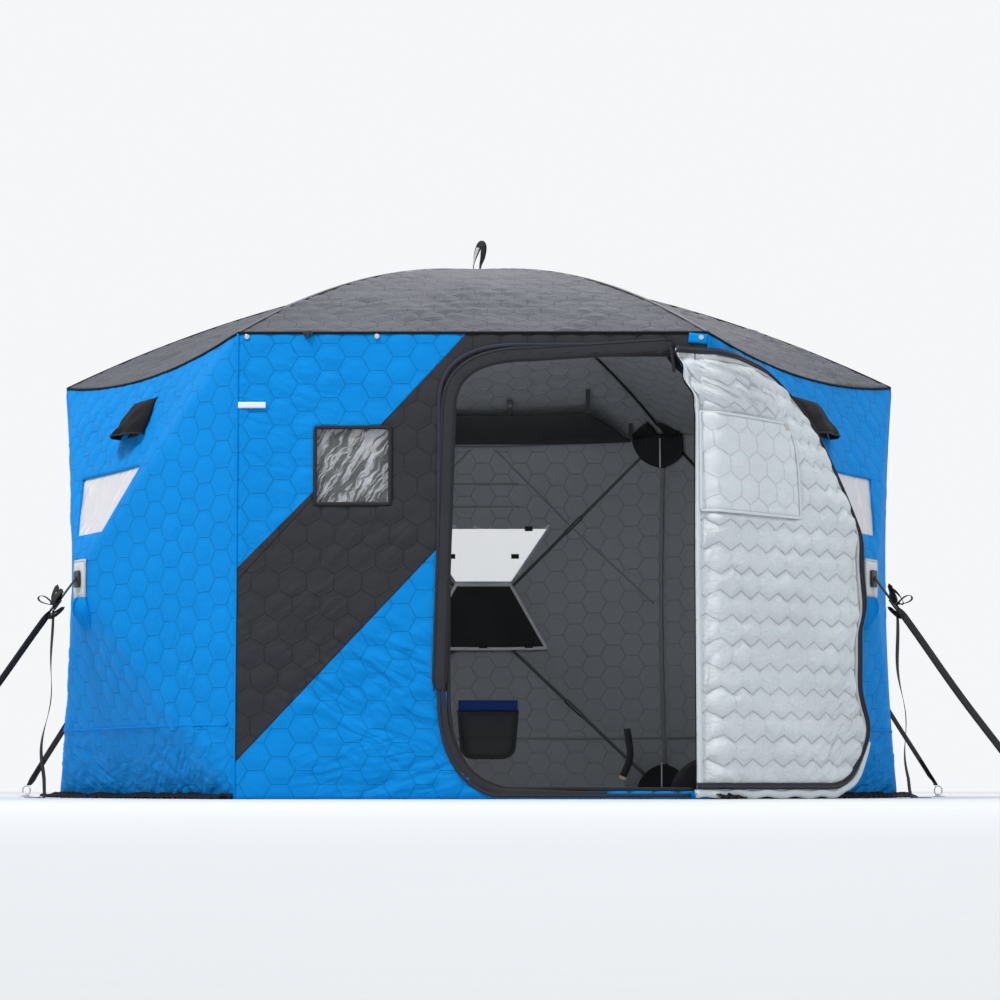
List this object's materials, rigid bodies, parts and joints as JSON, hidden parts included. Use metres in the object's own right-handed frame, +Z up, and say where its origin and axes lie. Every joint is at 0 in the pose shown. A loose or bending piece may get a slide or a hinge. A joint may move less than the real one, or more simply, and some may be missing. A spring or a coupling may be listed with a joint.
{
  "type": "pop-up fabric ice fishing hut",
  "caption": "Hexagonal pop-up ice fishing hut of quilted fabric on crossed poles, with hub walls, windows, vent hoods, guyed anchors and a side-hinged fabric door.",
  "frame": {"origin": "on the floor, under the middle of the whole outline, guys included", "axes": "+Z up, -Y out of the door wall, +X to the right seen from the door side"},
  "size_m": [3.9022, 3.6956, 2.1623],
  "materials": {
    "blue_cloth": "quilted woven",
    "roof_cloth": "quilted woven",
    "door_cloth": "quilted woven",
    "cover_cloth": "woven",
    "dark_cloth": "woven",
    "webbing": "woven webbing",
    "patch": "coated reflective",
    "window_film": "clear vinyl",
    "pole": "pultruded fibreglass",
    "hub_plastic": "moulded",
    "steel": "plated"
  },
  "bodies": {
    "root": {"wall_front_right": "blue_cloth", "wall_rear_right": "blue_cloth", "wall_back": "blue_cloth", "wall_rear_left": "blue_cloth", "wall_front_left": "blue_cloth", "front_wall_left": "blue_cloth", "front_wall_head": "blue_cloth", "front_wall_sill": "blue_cloth", "front_wall_hinge_strip": "blue_cloth", "roof_front": "roof_cloth", "roof_front_right": "roof_cloth", "roof_rear_right": "roof_cloth", "roof_back": "roof_cloth", "roof_rear_left": "roof_cloth", "roof_front_left": "roof_cloth", "roof_cap": "roof_cloth", "window_covers": "cover_cloth", "wall_pocket": "cover_cloth", "vent_hoods": "dark_cloth", "snow_skirt": "dark_cloth", "corner_pockets_top": "dark_cloth", "corner_pockets_bottom": "dark_cloth", "guy_straps": "webbing", "guy_tails": "webbing", "roof_strap": "webbing", "net_straps": "webbing", "gear_net": "webbing", "door_hinge_tape": "webbing", "hub_patches": "patch", "side_windows": "window_film", "front_window": "window_film", "wall_poles": "pole", "roof_poles": "pole", "wall_hubs": "hub_plastic", "roof_hub": "hub_plastic", "ice_anchors": "steel"},
    "door": {"door_leaf": "door_cloth", "door_window": "window_film", "door_window_cover": "cover_cloth"}
  },
  "joints": [
    {"name": "door_hinge", "type": "hinge", "parent": "root", "child": "door", "pos_m": [0.752, -1.81313, 0], "axis": [0, 0, 1], "range_deg": [-221, 0]}
  ]
}
